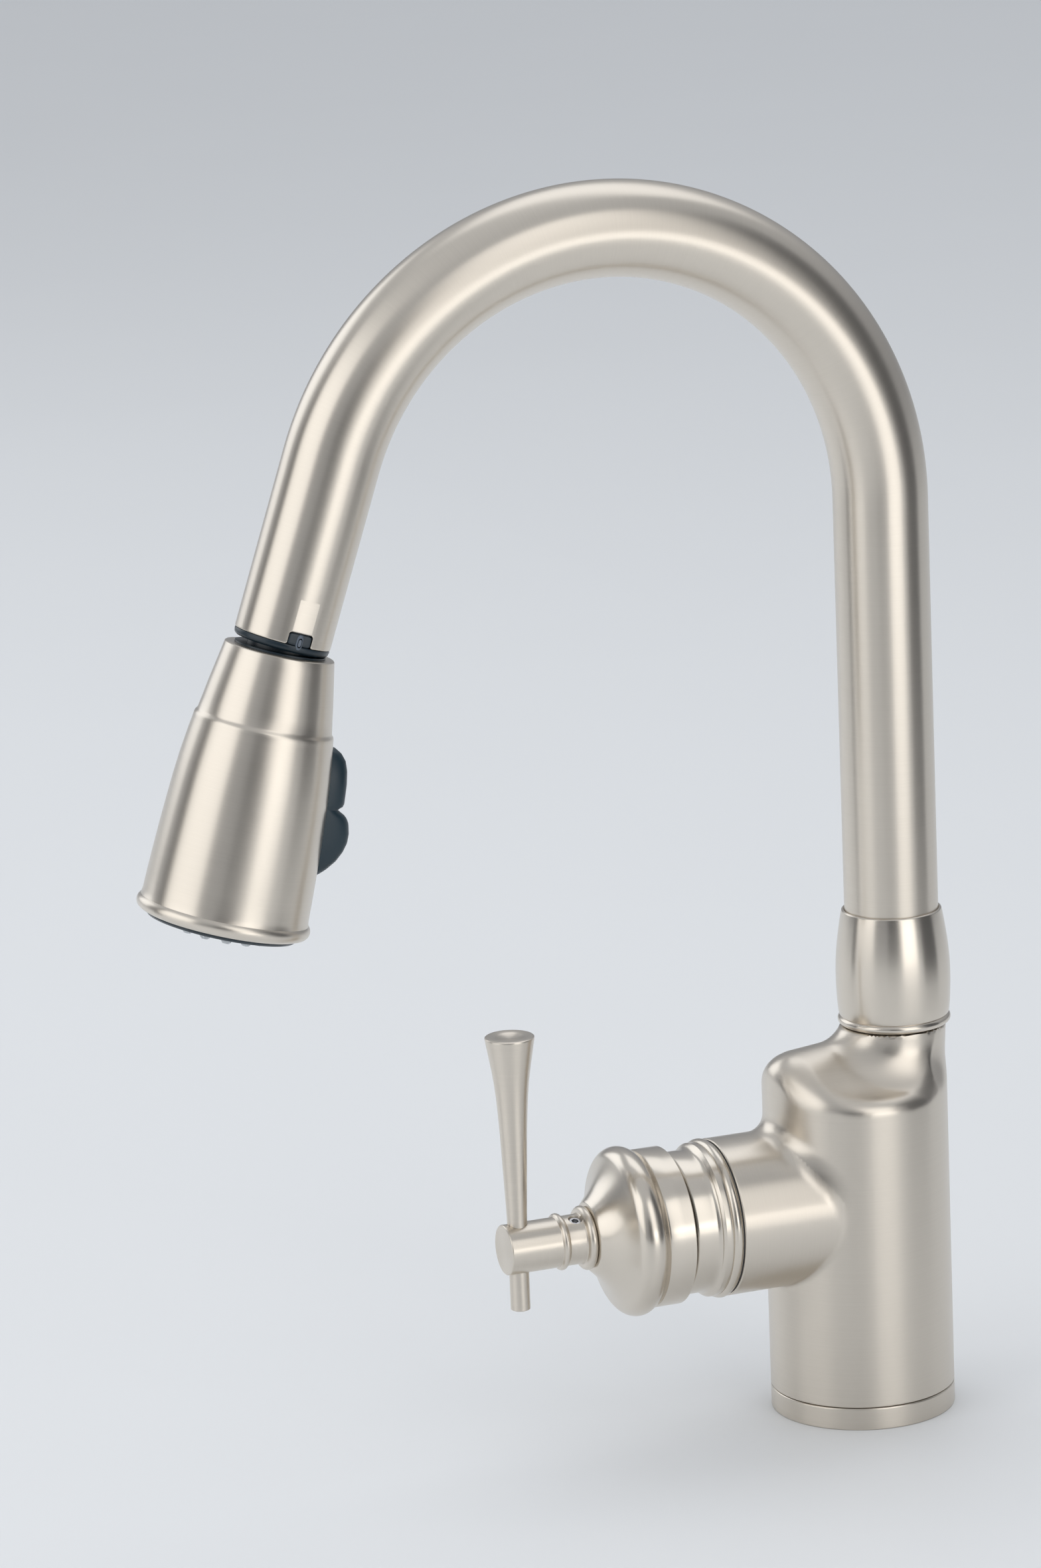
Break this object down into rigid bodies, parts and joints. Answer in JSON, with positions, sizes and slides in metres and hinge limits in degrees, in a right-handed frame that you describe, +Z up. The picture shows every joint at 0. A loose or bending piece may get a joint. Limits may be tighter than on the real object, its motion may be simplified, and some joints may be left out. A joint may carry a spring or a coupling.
{
  "type": "pull down kitchen faucet",
  "caption": "Deck-mounted kitchen tap: swivelling gooseneck spout, pull-down spray head with rocker, front barrel valve with bell and cross lever.",
  "frame": {"origin": "centre of the base ring's underside, on the deck, where the shank leaves it", "axes": "+Z up the body; the spout and the valve's hub point to -Y; +X is to the right seen from behind the spout's tip looking back at the body's left side"},
  "size_m": [0.0594, 0.2681, 0.4533],
  "materials": {
    "nickel": "satin brushed nickel, fine lines round the axis",
    "polished_nickel": "smoother satin nickel on the turned trim",
    "brass": "turned, unplated",
    "steel": "stainless, turned",
    "rubber": "matt black rubber",
    "clear_rubber": "translucent silicone",
    "black_plastic": "moulded black",
    "button_plastic": "satin blue-black soft touch",
    "white_plastic": "moulded acetal",
    "ceramic": "lapped ceramic",
    "hose": "woven nylon braid"
  },
  "bodies": {
    "tap_body": {"base_ring": "nickel", "base_gasket": "rubber", "body": "nickel", "shank": "brass", "cartridge_housing": "white_plastic", "port_seals": "rubber", "disc_fixed": "ceramic", "cartridge_nut": "brass", "bonnet_seal": "rubber", "bonnet": "polished_nickel"},
    "deck_washers": {"deck_washer_rubber": "rubber", "deck_washer_steel": "steel"},
    "deck_nut": {"mounting_nut": "brass"},
    "valve_carrier": {"cartridge_carrier": "white_plastic", "pivot_pin": "steel"},
    "valve_disc": {"disc_moving": "ceramic"},
    "handle": {"stem": "steel", "handle_skirt": "polished_nickel", "handle_hub": "nickel", "set_screw": "steel", "lever": "nickel"},
    "spout": {"collar": "nickel", "spout_tube": "nickel", "swivel_stub": "brass", "swivel_bushings": "white_plastic", "swivel_seal": "rubber", "snap_ring": "steel", "dock_ring": "black_plastic", "dock_keys": "black_plastic"},
    "spray_head": {"head_shell": "nickel", "head_core": "black_plastic", "hose_nut": "brass", "check_valve": "white_plastic", "rocker_pin": "steel", "spray_face": "black_plastic", "aerator": "steel", "spray_nipples": "clear_rubber", "spray_hose": "hose"},
    "rocker": {"rocker": "button_plastic"},
    "diverter": {"diverter_spool": "white_plastic"}
  },
  "joints": [
    {"name": "spout_swivel", "type": "hinge", "parent": "tap_body", "child": "spout", "pos_m": [0, 0.0146, 0.11], "axis": [0, 0, 1], "range_deg": [-180, 180]},
    {"name": "spray_pull", "type": "slide", "parent": "spout", "child": "spray_head", "axis": [0, -0.2689, -0.9632], "range_m": [0, 0.18], "deforming": ["spray_hose"]},
    {"name": "mode_rocker", "type": "hinge", "parent": "spray_head", "child": "rocker", "pos_m": [0, -0.18101, 0.22344], "axis": [-1, 0, 0], "range_deg": [0, 6]},
    {"name": "diverter_slide", "type": "slide", "parent": "spray_head", "child": "diverter", "axis": [0, -0.9632, 0.2689], "range_m": [0, 0.0016]},
    {"name": "handle_turn", "type": "hinge", "parent": "tap_body", "child": "valve_carrier", "pos_m": [0, -0.045, 0.0697], "axis": [0, -1, 0], "range_deg": [-45, 45]},
    {"name": "handle_tilt", "type": "hinge", "parent": "valve_carrier", "child": "handle", "pos_m": [0, -0.045, 0.0697], "axis": [1, 0, 0], "range_deg": [0, 25]},
    {"name": "disc_slide", "type": "slide", "parent": "valve_carrier", "child": "valve_disc", "axis": [0, 0, 1], "range_m": [0, 0.0052]},
    {"name": "nut_travel", "type": "slide", "parent": "tap_body", "child": "deck_washers", "axis": [0, 0, -1], "range_m": [-0.01605, 0.0301]},
    {"name": "nut_turn", "type": "hinge", "parent": "deck_washers", "child": "deck_nut", "pos_m": [0, 0, -0.03], "axis": [0, 0, -1], "range_deg": [-2880, 5400]}
  ],
  "couplings": [
    {"joint": "diverter_slide", "follows": "mode_rocker", "m_per_rad": 0.0137},
    {"joint": "disc_slide", "follows": "handle_tilt", "m_per_rad": 0.0116},
    {"joint": "nut_travel", "follows": "nut_turn", "m_per_rad": 0.00031831}
  ]
}
